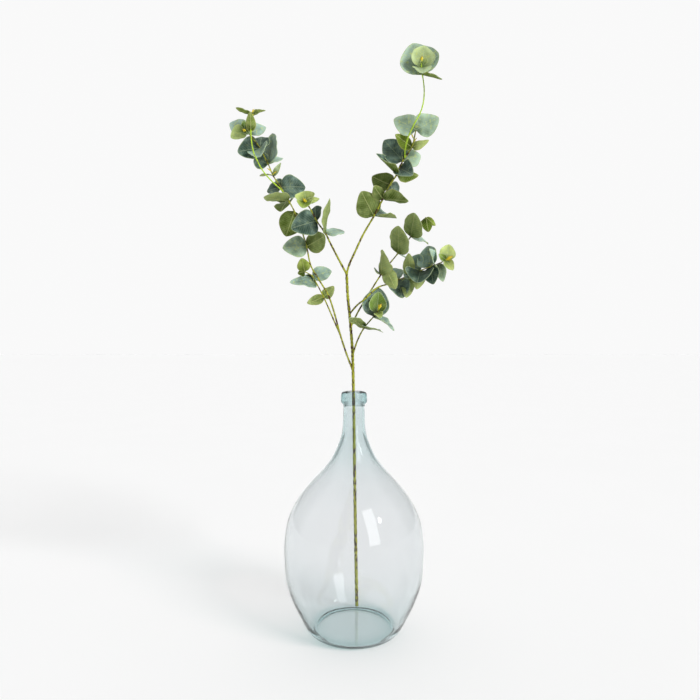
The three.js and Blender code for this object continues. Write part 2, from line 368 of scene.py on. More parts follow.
@dataclass(frozen=True)
class LeafFinish:
    """One side of a waxy eucalyptus leaf, with its midrib, side veins, rim and bloom, and painted shade in
    its middle and at its foot.
    """

    name: str
    deep: str
    pale: str
    young: str
    young_pale: str
    vein: str
    rim: str
    gland: str
    # The colour of the painted shade, and how strongly it darkens a blade's middle and its foot
    painted_shade: str
    core_shade_show: float
    foot_shade_show: float
    vein_show: float
    roughness: float
    gloss: float
    vein_mm: float = 4.4
    cloud_mm: float = 13.0
    gland_mm: float = 4.0
    rim_mm: float = 1.7
    # How far the painted shade reaches in from the rim and out from the foot, in mm
    core_shade_mm: float = 11.0
    foot_shade_mm: float = 19.0

    def material(self) -> bpy.types.Material:
        """Builds the leaf's side from what the blade carries: its age, tone and veins.

        Returns:
            The material.
        """
        # A waxed leaf skin shows a chalky bloom over a deeper green, with a soft sheen in place of a gloss.
        made, tree = new_material(self.name)
        place = add_node(tree, "ShaderNodeTexCoord")
        known = {
            name: add_node(tree, "ShaderNodeAttribute", {"attribute_name": name}).outputs["Fac"]
            for name in ("tone", "age", "vein_run", "rib_gap", "rim_gap")
        }
        # The bloom is a thin wax that rubs off in clouds about a centimetre wide.
        bloom = add_node(
            tree,
            "ShaderNodeTexNoise",
            None,
            {"Vector": place.outputs["Object"], "Scale": 1 / (self.cloud_mm * MM), "Detail": 4.0},
        )
        # Oil glands are finer than a pixel, so the dots are drawn four millimetres apart.
        gland = add_node(
            tree,
            "ShaderNodeTexNoise",
            None,
            {"Vector": place.outputs["Object"], "Scale": 1 / (self.gland_mm * MM), "Detail": 3.0},
        )
        lift = add_node(
            tree,
            "ShaderNodeMath",
            {"operation": "MULTIPLY_ADD"},
            {0: known["tone"], 1: 0.4, 2: bloom.outputs["Fac"]},
        )
        cloud = add_node(
            tree,
            "ShaderNodeMapRange",
            {"interpolation_type": "SMOOTHSTEP"},
            {"Value": lift, "From Min": 0.1, "From Max": 0.9},
        )
        grown = add_node(
            tree,
            "ShaderNodeMix",
            {"data_type": "RGBA"},
            {0: cloud.outputs["Result"], 6: linear(self.deep), 7: linear(self.pale)},
        )
        fresh = add_node(
            tree,
            "ShaderNodeMix",
            {"data_type": "RGBA"},
            {0: cloud.outputs["Result"], 6: linear(self.young), 7: linear(self.young_pale)},
        )
        aged = add_node(
            tree,
            "ShaderNodeMix",
            {"data_type": "RGBA"},
            {0: known["age"], 6: grown.outputs[2], 7: fresh.outputs[2]},
        )
        # Side veins leave the midrib every few millimetres and run up to the rim.
        count = add_node(
            tree, "ShaderNodeMath", {"operation": "DIVIDE"}, {0: known["vein_run"], 1: self.vein_mm}
        )
        beat = add_node(
            tree, "ShaderNodeMath", {"operation": "PINGPONG"}, {0: count, 1: 0.5}
        )
        side_vein = add_node(
            tree,
            "ShaderNodeMapRange",
            {"interpolation_type": "SMOOTHSTEP"},
            {"Value": beat, "From Min": 0.12, "From Max": 0.0, "To Max": 0.55},
        )
        off_rib = add_node(tree, "ShaderNodeMath", {"operation": "ABSOLUTE"}, {0: known["rib_gap"]})
        midrib = add_node(
            tree,
            "ShaderNodeMapRange",
            {"interpolation_type": "SMOOTHSTEP"},
            {"Value": off_rib, "From Min": 1.0, "From Max": 0.3},
        )
        veins = add_node(
            tree,
            "ShaderNodeMath",
            {"operation": "MAXIMUM"},
            {0: side_vein.outputs["Result"], 1: midrib.outputs["Result"]},
        )
        shown = add_node(
            tree, "ShaderNodeMath", {"operation": "MULTIPLY"}, {0: veins, 1: self.vein_show}
        )
        # Painted shade: the middle of a blade, away from its rim, is darkened.
        core_shade = add_node(
            tree,
            "ShaderNodeMapRange",
            {"interpolation_type": "SMOOTHSTEP"},
            {
                "Value": known["rim_gap"],
                "From Min": 1.0,
                "From Max": self.core_shade_mm,
                "To Max": self.core_shade_show,
            },
        )
        # Painted shade also darkens its foot near the stalk, where the next pair of leaves would shade it.
        forward = add_node(
            tree,
            "ShaderNodeMath",
            {"operation": "MULTIPLY_ADD"},
            {0: off_rib, 1: VEIN_CLIMB, 2: known["vein_run"]},
        )
        spot = add_node(tree, "ShaderNodeCombineXYZ", None, {"X": forward, "Y": off_rib})
        away = add_node(tree, "ShaderNodeVectorMath", {"operation": "LENGTH"}, {0: spot})
        foot_shade = add_node(
            tree,
            "ShaderNodeMapRange",
            {"interpolation_type": "SMOOTHSTEP"},
            {
                "Value": away.outputs["Value"],
                "From Min": self.foot_shade_mm,
                "From Max": 3.0,
                "To Max": self.foot_shade_show,
            },
        )
        deeper = add_node(
            tree,
            "ShaderNodeMath",
            {"operation": "MAXIMUM"},
            {0: core_shade.outputs["Result"], 1: foot_shade.outputs["Result"]},
        )
        # Painted shade: where either mask is strong, the colour is multiplied towards the shade colour.
        shaded = add_node(
            tree,
            "ShaderNodeMix",
            {"data_type": "RGBA", "blend_type": "MULTIPLY"},
            {0: deeper, 6: aged.outputs[2], 7: linear(self.painted_shade)},
        )
        veined = add_node(
            tree,
            "ShaderNodeMix",
            {"data_type": "RGBA"},
            {0: shown, 6: shaded.outputs[2], 7: linear(self.vein)},
        )
        rim = add_node(
            tree,
            "ShaderNodeMapRange",
            {"interpolation_type": "SMOOTHSTEP"},
            {"Value": known["rim_gap"], "From Min": self.rim_mm, "From Max": 0.4, "To Max": 0.6},
        )
        rimmed = add_node(
            tree,
            "ShaderNodeMix",
            {"data_type": "RGBA"},
            {0: rim.outputs["Result"], 6: veined.outputs[2], 7: linear(self.rim)},
        )
        dotted = add_node(
            tree,
            "ShaderNodeMapRange",
            {"interpolation_type": "SMOOTHSTEP"},
            {"Value": gland.outputs["Fac"], "From Min": 0.53, "From Max": 0.66, "To Max": 0.5},
        )
        speckled = add_node(
            tree,
            "ShaderNodeMath",
            {"operation": "MULTIPLY"},
            {0: dotted.outputs["Result"], 1: cloud.outputs["Result"]},
        )
        coloured = add_node(
            tree,
            "ShaderNodeMix",
            {"data_type": "RGBA"},
            {0: speckled, 6: rimmed.outputs[2], 7: linear(self.gland)},
        )
        relief = add_node(
            tree,
            "ShaderNodeMath",
            {"operation": "MULTIPLY_ADD"},
            {0: gland.outputs["Fac"], 1: 0.35, 2: veins},
        )
        raised = add_node(
            tree,
            "ShaderNodeBump",
            None,
            {"Height": relief, "Strength": 0.5, "Distance": 0.8 * MM},
        )
        shine = add_node(
            tree,
            "ShaderNodeMapRange",
            None,
            {
                "Value": bloom.outputs["Fac"],
                "To Min": self.roughness - 0.12,
                "To Max": self.roughness + 0.12,
            },
        )
        blade = add_node(
            tree,
            "ShaderNodeBsdfPrincipled",
            None,
            {
                "Base Color": coloured.outputs[2],
                "Roughness": shine.outputs["Result"],
                "Normal": raised,
                "IOR": 1.45,
                "Specular IOR Level": self.gloss,
            },
        )
        add_node(tree, "ShaderNodeOutputMaterial", None, {"Surface": blade})
        return made


@dataclass(frozen=True)
class BudFinish:
    """Tender bud scales, lime at the foot, yellow above it and brown at the very tip."""

    name: str = "Tender bud scale"
    foot: str = "#bccb36"
    middle: str = "#e3cc32"
    tip: str = "#8a4a28"
    grain_mm: float = 1.5

    def material(self) -> bpy.types.Material:
        """Builds the scales, which change colour from foot to tip.

        Returns:
            The material.
        """
        # Closed scales are tender and a little resinous: a warm yellow with a satin sheen and a brown point.
        made, tree = new_material(self.name)
        place = add_node(tree, "ShaderNodeTexCoord")
        run = add_node(tree, "ShaderNodeAttribute", {"attribute_name": "run"}).outputs["Fac"]
        grain = add_node(
            tree,
            "ShaderNodeTexNoise",
            None,
            {"Vector": place.outputs["Object"], "Scale": 1 / (self.grain_mm * MM), "Detail": 2.0},
        )
        moved = add_node(
            tree,
            "ShaderNodeMath",
            {"operation": "MULTIPLY_ADD"},
            {0: grain.outputs["Fac"], 1: 0.25, 2: run},
        )
        lower = add_node(
            tree, "ShaderNodeMapRange", None, {"Value": moved, "From Min": 0.1, "From Max": 0.6}
        )
        upper = add_node(
            tree, "ShaderNodeMapRange", None, {"Value": moved, "From Min": 0.86, "From Max": 1.2}
        )
        first = add_node(
            tree,
            "ShaderNodeMix",
            {"data_type": "RGBA"},
            {0: lower.outputs["Result"], 6: linear(self.foot), 7: linear(self.middle)},
        )
        second = add_node(
            tree,
            "ShaderNodeMix",
            {"data_type": "RGBA"},
            {0: upper.outputs["Result"], 6: first.outputs[2], 7: linear(self.tip)},
        )
        rough = add_node(
            tree,
            "ShaderNodeBump",
            None,
            {"Height": grain.outputs["Fac"], "Strength": 0.4, "Distance": 0.3 * MM},
        )
        scale = add_node(
            tree,
            "ShaderNodeBsdfPrincipled",
            None,
            {"Base Color": second.outputs[2], "Roughness": 0.5, "Normal": rough, "IOR": 1.45},
        )
        add_node(tree, "ShaderNodeOutputMaterial", None, {"Surface": scale})
        return made


@dataclass(frozen=True)
class FloorFinish:
    """White matt painted board, almost even."""

    name: str = "Matt white board"
    colour: str = "#fbfbfb"
    worn: str = "#f9f9f9"
    cloud_mm: float = 333.0

    def material(self) -> bpy.types.Material:
        """Builds the board with a very faint cloud.

        Returns:
            The material.
        """
        # Matt paint scatters all light evenly, so the board is white without a reflection.
        made, tree = new_material(self.name)
        place = add_node(tree, "ShaderNodeTexCoord")
        cloud = add_node(
            tree,
            "ShaderNodeTexNoise",
            None,
            {"Vector": place.outputs["Object"], "Scale": 1 / (self.cloud_mm * MM)},
        )
        mixed = add_node(
            tree,
            "ShaderNodeMix",
            {"data_type": "RGBA"},
            {0: cloud.outputs["Fac"], 6: linear(self.colour), 7: linear(self.worn)},
        )
        board = add_node(
            tree,
            "ShaderNodeBsdfPrincipled",
            None,
            {"Base Color": mixed.outputs[2], "Roughness": 0.9, "Specular IOR Level": 0.2},
        )
        add_node(tree, "ShaderNodeOutputMaterial", None, {"Surface": board})
        return made


WOODY_STEM = StemFinish(
    name="Olive bark",
    bark="#7e8216",
    pale="#b2b634",
    fleck="#42280e",
    flecks=0.6,
)
GREEN_TWIG = StemFinish(
    name="Lime twig bark",
    bark="#9cc21c",
    pale="#bcdc3a",
    fleck="#8a8f3c",
    flecks=0.1,
)
LEAF_UPPER = LeafFinish(
    name="Waxy leaf upper side",
    deep="#304c40",
    pale="#abc7ba",
    young="#84a424",
    young_pale="#cedb7a",
    vein="#b9c9a4",
    rim="#b8c896",
    gland="#c2cb6c",
    # Painted shade, multiplied into the middle and the foot of each blade
    painted_shade="#7c8a72",
    core_shade_show=0.45,
    foot_shade_show=0.95,
    vein_show=0.3,
    roughness=0.44,
    gloss=0.3,
)
LEAF_UNDER = LeafFinish(
    name="Matt leaf underside",
    deep="#50651c",
    pale="#9fb070",
    young="#86a02e",
    young_pale="#c6d27a",
    vein="#b9c080",
    rim="#a9a868",
    gland="#a6ab5a",
    # Painted shade, multiplied into the middle and the foot of each blade
    painted_shade="#869260",
    core_shade_show=0.35,
    foot_shade_show=0.95,
    vein_show=0.5,
    roughness=0.62,
    gloss=0.15,
)


# ----------------------------------------------------------- leafy stem by nodes


@dataclass(frozen=True)
class SprayTree:
    """The Geometry Nodes tree that grows a skeleton into stem, leaves and buds."""

    shoulder: float = 0.66
    fullness: float = 0.7
    stalk: float = 0.045
    groove_mm: float = 1.3
    groove_depth_mm: float = 0.45
    frill: float = 0.4
    crease: float = math.radians(50)

    def sockets(self) -> list[tuple[str, str]]:
        """Names the tree's inputs.

        Returns:
            Each input's name and socket type, in order.
        """
        return [
            ("Skeleton", "NodeSocketGeometry"),
            ("Blade thickness", "NodeSocketFloat"),
            ("Blade stations", "NodeSocketInt"),
            ("Blade lanes", "NodeSocketInt"),
            ("Stem sides", "NodeSocketInt"),
            ("Stem finish", "NodeSocketMaterial"),
            ("Upper finish", "NodeSocketMaterial"),
            ("Under finish", "NodeSocketMaterial"),
            ("Bud finish", "NodeSocketMaterial"),
        ]

    def blade_rows(self) -> list[tuple]:
        """Gives the blade's shape as rows of name, operation and terms.

        Returns:
            The rows in working order; a term is a number or the name of an earlier row.
        """
        return [
            ("spread", "ABSOLUTE", "lane"),
            ("crowd", "SQRT", "spread"),
            ("across", "MULTIPLY", "lane", "crowd"),
            ("swell", "POWER", "along", self.shoulder),
            ("turned", "MULTIPLY", "swell", math.pi),
            ("arc", "SINE", "turned"),
            ("full", "POWER", "arc", self.fullness),
            ("outline", "MULTIPLY_ADD", "full", 1 - self.stalk, self.stalk),
            ("reach", "MULTIPLY", "outline", "across"),
            ("square", "MULTIPLY", "reach", "reach"),
            ("bowl", "MULTIPLY", "square", "cup"),
            ("rest", "SUBTRACT", 1.0, "along"),
            ("hump", "MULTIPLY", "along", "rest"),
            ("bent", "MULTIPLY_ADD", "hump", "bow", "bowl"),
            ("angle", "MULTIPLY_ADD", "along", 2 * math.pi, "phase"),
            ("ripple", "SINE", "angle"),
            ("waved", "MULTIPLY", "ripple", "reach"),
            ("swayed", "MULTIPLY_ADD", "waved", "sway", "bent"),
            ("quicker", "MULTIPLY_ADD", "along", 6 * math.pi, "phase"),
            ("flutter", "SINE", "quicker"),
            ("edgewise", "MULTIPLY", "flutter", "square"),
            ("slight", "MULTIPLY", "edgewise", self.frill),
            ("frilled", "MULTIPLY_ADD", "slight", "sway", "swayed"),
            ("sideways", "MULTIPLY", "reach", "half"),
            ("near", "DIVIDE", "sideways", self.groove_mm * MM),
            ("nearer", "MULTIPLY", "near", "near"),
            ("fading", "MULTIPLY", "nearer", -1.0),
            ("groove", "EXPONENT", "fading"),
            ("shallow", "MULTIPLY", "groove", "rest"),
            ("height", "MULTIPLY_ADD", "shallow", -self.groove_depth_mm * MM, "frilled"),
            ("forward", "MULTIPLY", "along", "length"),
            ("off_rib", "ABSOLUTE", "sideways"),
            ("climb", "MULTIPLY_ADD", "off_rib", -VEIN_CLIMB, "forward"),
            ("vein_run", "DIVIDE", "climb", MM),
            ("rib_gap", "DIVIDE", "sideways", MM),
            ("inside", "MULTIPLY", "outline", "half"),
            ("margin", "SUBTRACT", "inside", "off_rib"),
            ("rim_gap", "DIVIDE", "margin", MM),
        ]

    def build(self) -> bpy.types.NodeTree:
        """Builds the tree.

        Returns:
            The node group, ready for any spray's skeleton.
        """
        tree = bpy.data.node_groups.new("Leafy stem", "GeometryNodeTree")
        for name, kind in self.sockets():
            tree.interface.new_socket(name, in_out="INPUT", socket_type=kind)
        tree.interface.new_socket("Spray", in_out="OUTPUT", socket_type="NodeSocketGeometry")
        given = add_node(tree, "NodeGroupInput").outputs
        form = add_node(
            tree, "GeometryNodeInputNamedAttribute", {"data_type": "INT"}, {"Name": "form"}
        )
        is_form = {
            which: add_node(
                tree,
                "FunctionNodeCompare",
                {"data_type": "INT", "operation": "EQUAL"},
                {2: form, 3: int(which)},
            )
            for which in (Form.LEAF, Form.BUD)
        }
        stems = self.add_stems(tree, given)
        leaves = self.add_leaves(tree, given, is_form[Form.LEAF])
        grown = add_node(tree, "GeometryNodeJoinGeometry", None, {0: stems})
        tree.links.new(leaves.outputs[0], grown.inputs[0])
        smooth = add_node(tree, "GeometryNodeSetShadeSmooth", {"domain": "FACE"}, {"Geometry": grown})
        angle = add_node(tree, "GeometryNodeInputMeshEdgeAngle")
        sharp = add_node(
            tree,
            "FunctionNodeCompare",
            {"data_type": "FLOAT", "operation": "GREATER_THAN"},
            {0: angle, 1: self.crease},
        )
        creased = add_node(
            tree,
            "GeometryNodeSetShadeSmooth",
            {"domain": "EDGE"},
            {"Geometry": smooth, "Selection": sharp, "Shade Smooth": False},
        )
        under = add_node(
            tree, "GeometryNodeInputNamedAttribute", {"data_type": "BOOLEAN"}, {"Name": "underside"}
        )
        last = add_node(tree, "GeometryNodeRealizeInstances", None, {"Geometry": creased})
        for choice, finish in (
            (None, "Stem finish"),
            (is_form[Form.LEAF], "Upper finish"),
            (under, "Under finish"),
            (is_form[Form.BUD], "Bud finish"),
        ):
            feeds = {"Geometry": last, "Material": given[finish]}
            if choice is not None:
                feeds["Selection"] = choice
            last = add_node(tree, "GeometryNodeSetMaterial", None, feeds)
        add_node(tree, "NodeGroupOutput", None, {"Spray": last})
        return tree

    def add_stems(
        self, tree: bpy.types.NodeTree, given: bpy.types.bpy_prop_collection
    ) -> bpy.types.Node:
        """Adds the nodes that sweep stems and bud scales along the skeleton's lines.

        Args:
            tree: The tree being built.
            given: The group's input sockets.

        Returns:
            The node that gives the closed tubes.
        """
        girth = add_node(
            tree, "GeometryNodeInputNamedAttribute", {"data_type": "FLOAT"}, {"Name": "girth"}
        )
        line = add_node(tree, "GeometryNodeMeshToCurve", None, {"Mesh": given["Skeleton"]})
        round_edge = add_node(
            tree,
            "GeometryNodeCurvePrimitiveCircle",
            None,
            {"Resolution": given["Stem sides"], "Radius": 1.0},
        )
        return add_node(
            tree,
            "GeometryNodeCurveToMesh",
            None,
            {"Curve": line, "Profile Curve": round_edge, "Scale": girth, "Fill Caps": True},
        )

    def add_leaves(
        self,
        tree: bpy.types.NodeTree,
        given: bpy.types.bpy_prop_collection,
        is_leaf: bpy.types.Node,
    ) -> bpy.types.Node:
        """Adds the nodes that put a blade on every leaf point and bend it to its shape.

        Args:
            tree: The tree being built.
            given: The group's input sockets.
            is_leaf: The node that picks the skeleton's leaf points.

        Returns:
            The node that gives the closed blades.
        """
        sheet = add_node(
            tree,
            "GeometryNodeMeshGrid",
            None,
            {
                "Size X": 1.0,
                "Size Y": 2.0,
                "Vertices X": given["Blade stations"],
                "Vertices Y": given["Blade lanes"],
            },
        )
        spot = add_node(
            tree, "ShaderNodeSeparateXYZ", None, {0: add_node(tree, "GeometryNodeInputPosition")}
        )
        share = add_node(tree, "ShaderNodeMath", {"operation": "ADD"}, {0: spot.outputs["X"], 1: 0.5})
        marked = add_node(
            tree,
            "GeometryNodeStoreNamedAttribute",
            {"data_type": "FLOAT", "domain": "POINT"},
            {"Geometry": sheet, "Name": "along", "Value": share},
        )
        laned = add_node(
            tree,
            "GeometryNodeStoreNamedAttribute",
            {"data_type": "FLOAT", "domain": "POINT"},
            {"Geometry": marked, "Name": "lane", "Value": spot.outputs["Y"]},
        )
        placed = add_node(
            tree,
            "GeometryNodeInstanceOnPoints",
            None,
            {"Points": given["Skeleton"], "Selection": is_leaf, "Instance": laned},
        )
        blades = add_node(tree, "GeometryNodeRealizeInstances", None, {"Geometry": placed})
        known = {
            name: add_node(
                tree, "GeometryNodeInputNamedAttribute", {"data_type": "FLOAT"}, {"Name": name}
            ).outputs[0]
            for name in ("along", "lane", "length", "half", "cup", "bow", "sway", "phase")
        }
        for name, operation, *terms in self.blade_rows():
            feeds = {i: known[t] if isinstance(t, str) else t for i, t in enumerate(terms)}
            known[name] = add_node(tree, "ShaderNodeMath", {"operation": operation}, feeds).outputs[0]
        shaped = self.add_blade_place(tree, blades, known)
        for name in ("vein_run", "rib_gap", "rim_gap"):
            shaped = add_node(
                tree,
                "GeometryNodeStoreNamedAttribute",
                {"data_type": "FLOAT", "domain": "POINT"},
                {"Geometry": shaped, "Name": name, "Value": known[name]},
            )
        turned = add_node(tree, "GeometryNodeFlipFaces", None, {"Mesh": shaped})
        backs = add_node(
            tree,
            "GeometryNodeStoreNamedAttribute",
            {"data_type": "BOOLEAN", "domain": "FACE"},
            {"Geometry": turned, "Name": "underside", "Value": True},
        )
        fronts = add_node(
            tree,
            "GeometryNodeExtrudeMesh",
            {"mode": "FACES"},
            {"Mesh": shaped, "Offset Scale": given["Blade thickness"], "Individual": False},
        )
        both = add_node(tree, "GeometryNodeJoinGeometry", None, {0: backs})
        tree.links.new(fronts.outputs["Mesh"], both.inputs[0])
        return add_node(
            tree, "GeometryNodeMergeByDistance", None, {"Geometry": both, "Distance": 0.001 * MM}
        )

    def add_blade_place(
        self,
        tree: bpy.types.NodeTree,
        blades: bpy.types.Node,
        known: dict[str, bpy.types.NodeSocket],
    ) -> bpy.types.Node:
        """Adds the nodes that move a blade's points along its midrib, side and upper way.

        Args:
            tree: The tree being built.
            blades: The node that gives the flat blades.
            known: The worked-out lengths by name.

        Returns:
            The node that gives the bent blades.
        """
        ways = {
            name: add_node(
                tree, "GeometryNodeInputNamedAttribute", {"data_type": "FLOAT_VECTOR"}, {"Name": name}
            )
            for name in ("root", "midrib", "side", "upper")
        }
        total = ways["root"]
        for way, length in (("midrib", "forward"), ("side", "sideways"), ("upper", "height")):
            step = add_node(
                tree,
                "ShaderNodeVectorMath",
                {"operation": "SCALE"},
                {0: ways[way], "Scale": known[length]},
            )
            total = add_node(tree, "ShaderNodeVectorMath", {"operation": "ADD"}, {0: total, 1: step})
        return add_node(
            tree, "GeometryNodeSetPosition", None, {"Geometry": blades, "Position": total}
        )


# -------------------------------------------------------------- leafy stem pieces


@dataclass(frozen=True)
class Leaf:
    """One leaf: its tip from its root in mm, its facing, breadth, age, tone and extra fold."""

    tip: Point
    faces: Facing = Facing.GROWTH
    breadth: float = 1.0
    age: float = 0.0
    tone: float | None = None
    fold: float = 0.0


@dataclass(frozen=True)
class Node:
    """A place on a stem in mm, with the leaves that grow there."""

    place: Point
    leaves: tuple[Leaf, ...] = ()


@dataclass
class Skeleton:
    """The points and lines that a spray's tree grows, with what each point carries."""

    points: list[Vector] = field(default_factory=list)
    lines: list[tuple[int, int]] = field(default_factory=list)
    numbers: dict[str, list[float]] = field(default_factory=dict)
    ways: dict[str, list[Vector]] = field(default_factory=dict)

    NUMBERS = ("girth", "run", "length", "half", "cup", "bow", "sway", "phase", "tone", "age")
    WAYS = ("root", "midrib", "side", "upper")

    def add(self, place: Vector, form: Form, **carried: float | Vector) -> int:
        """Adds a point with what it carries.

        Args:
            place: The point, in metres.
            form: What grows from it.
            **carried: Numbers and directions by name; the rest are nought.

        Returns:
            The point's number.
        """
        self.points.append(place)
        self.numbers.setdefault("form", []).append(int(form))
        for name in self.NUMBERS:
            self.numbers.setdefault(name, []).append(carried.get(name, 0.0))
        for name in self.WAYS:
            self.ways.setdefault(name, []).append(carried.get(name, Vector()))
        return len(self.points) - 1

    def add_line(self, line: list[Vector], girths: list[float], form: Form) -> None:
        """Adds a line of points joined end to end.

        Args:
            line: The points, in metres.
            girths: The radius at each point, in metres.
            form: What the line grows into.
        """
        last = None
        for i, (place, girth) in enumerate(zip(line, girths)):
            here = self.add(place, form, girth=girth, run=i / (len(line) - 1))
            if last is not None:
                self.lines.append((last, here))
            last = here

    def mesh(self, name: str) -> bpy.types.Mesh:
        """Makes the skeleton a mesh of points and edges with attributes.

        Args:
            name: The mesh's name.

        Returns:
            The mesh.
        """
        made = bpy.data.meshes.new(name)
        made.from_pydata(self.points, self.lines, [])
        for key, values in self.numbers.items():
            kind = "INT" if key == "form" else "FLOAT"
            made.attributes.new(key, kind, "POINT").data.foreach_set("value", values)
        for key, values in self.ways.items():
            flat = [c for v in values for c in v]
            made.attributes.new(key, "FLOAT_VECTOR", "POINT").data.foreach_set("vector", flat)
        return made


@dataclass
class Spray:
    """A stem with the leaves and buds that grow from it."""

    name: str
    slot: str
    radius: tuple[float, float]
    bud: float
    nodes: list[Node]
    twig: StemFinish = WOODY_STEM
    side_buds: tuple[tuple[Point, Point], ...] = ()

    blade_thickness: float = 0.7 * MM
    blade_stations: int = 25
    blade_lanes: int = 21
    stem_sides: int = 14
    steps: int = 12
    width: float = 0.88
    width_range: float = 0.07
    cup: float = 0.2
    cup_range: float = 0.16
    arch: float = 0.03
    arch_range: float = 0.05
    wave: float = 0.045
    knot: float = 2.2
    knot_swell: float = 0.3
    lumps: tuple[Point, ...] = ((0.08, 0.83, 0.0), (0.06, 0.37, 1.3))
    bud_radius: float = 2.1
    bud_sink: float = 0.2
    bud_curl: float = 0.12
    bud_rings: int = 8
    side_bud_radius: float = 1.1
    scale_radius: float = 0.55
    scale_length: float = 0.75
    scale_count: int = 4
    scale_lean: float = 0.55

    KEPT = ("tone", "age", "run", "vein_run", "rib_gap", "rim_gap")

    def leaf_count(self) -> int:
        """Counts the spray's leaves."""
        return sum(len(n.leaves) for n in self.nodes)

    def tangent(self, i: int) -> Vector:
        """Gives the way the stem grows at one of its nodes.

        Args:
            i: The node's number.

        Returns:
            The unit direction.
        """
        places = [Vector(n.place) for n in self.nodes]
        ends = [2 * places[0] - places[1], *places, 2 * places[-1] - places[-2]]
        before, here, after = ends[i : i + 3]
        gaps = math.sqrt((here - before).length), math.sqrt((after - here).length)
        return slope_at(before, here, after, *gaps).normalized()

    def add_stem(self, skeleton: Skeleton) -> None:
        """Adds the stem's line, thinner to its end and swollen where leaves grow.

        Args:
            skeleton: The skeleton that gets it.
        """
        line = smooth_line([Vector(n.place) for n in self.nodes], self.steps)
        marks = [i * self.steps for i, n in enumerate(self.nodes) if n.leaves]
        runs = [0.0]
        for a, b in zip(line, line[1:]):
            runs.append(runs[-1] + (b - a).length)
        girths = []
        for run in runs:
            share = run / runs[-1]
            girth = self.radius[0] + (self.radius[1] - self.radius[0]) * share
            knots = sum(math.exp(-(((run - runs[m]) / self.knot) ** 2)) for m in marks)
            uneven = sum(size * math.sin(run * pace + start) for size, pace, start in self.lumps)
            girths.append(girth * (1 + self.knot_swell * min(knots, 1.2) + uneven) * MM)
        skeleton.add_line([p * MM for p in line], girths, Form.STEM)

    def add_leaf(self, skeleton: Skeleton, leaf: Leaf, node: int, index: int) -> None:
        """Adds one leaf's point with the lengths and directions of its blade.

        Args:
            skeleton: The skeleton that gets it.
            leaf: The leaf.
            node: The number of the stem's node that it grows at.
            index: The leaf's number along the whole branch.
        """
        tip = Vector(leaf.tip)
        midrib = tip.normalized()
        turned = self.tangent(node) if leaf.faces is Facing.GROWTH else Vector(leaf.faces.value)
        upper = (turned - midrib * turned.dot(midrib)).normalized()
        length = tip.length * MM
        half = leaf.breadth * length / 2 * (self.width + self.width_range * vary(index, 1))
        root = Vector(self.nodes[node].place) * MM
        skeleton.add(
            root,
            Form.LEAF,
            root=root,
            midrib=midrib,
            side=upper.cross(midrib),
            upper=upper,
            length=length,
            half=half,
            cup=(self.cup + self.cup_range * vary(index, 2) + leaf.fold) * half,
            bow=(self.arch + self.arch_range * vary(index, 3)) * 4 * length,
            sway=self.wave * length,
            phase=math.pi * vary(index, 4),
            tone=vary(index, 5) if leaf.tone is None else leaf.tone,
            age=leaf.age,
        )

    def add_bud(
        self,
        skeleton: Skeleton,
        foot: Vector,
        way: Vector,
        length: float,
        thick: float,
    ) -> None:
        """Adds one pointed bud scale.

        Args:
            skeleton: The skeleton that gets it.
            foot: Where it starts, in mm.
            way: The unit direction it points in.
            length: Its length in mm.
            thick: Its largest radius in mm.
        """
        shares = [i / self.bud_rings for i in range(self.bud_rings + 1)]
        bend = way.orthogonal().normalized() * length * self.bud_curl
        line = [(foot + way * length * s + bend * s * s) * MM for s in shares]
        swells = [math.sin(math.pi * (0.16 + 0.84 * s)) ** 0.8 for s in shares]
        skeleton.add_line(line, [thick * MM * (0.12 + 0.88 * s) for s in swells], Form.BUD)

    def add_buds(self, skeleton: Skeleton) -> None:
        """Adds the bud at the stem's end with its loose scales, and the small buds beside it.

        Args:
            skeleton: The skeleton that gets them.
        """
        if self.bud:
            way = self.tangent(len(self.nodes) - 1)
            end = Vector(self.nodes[-1].place)
            sunk = self.bud_sink * self.bud
            self.add_bud(skeleton, end - way * sunk, way, self.bud + sunk, self.bud_radius)
            across = way.orthogonal().normalized()
            beside = way.cross(across)
            for i in range(self.scale_count):
                turn = 2 * math.pi * i / self.scale_count + 0.6
                out = across * math.cos(turn) + beside * math.sin(turn)
                leant = (way + self.scale_lean * out).normalized()
                self.add_bud(skeleton, end, leant, self.scale_length * self.bud, self.scale_radius)
        for foot, tip in self.side_buds:
            reach = Vector(tip)
            self.add_bud(
                skeleton, Vector(foot), reach.normalized(), reach.length, self.side_bud_radius
            )

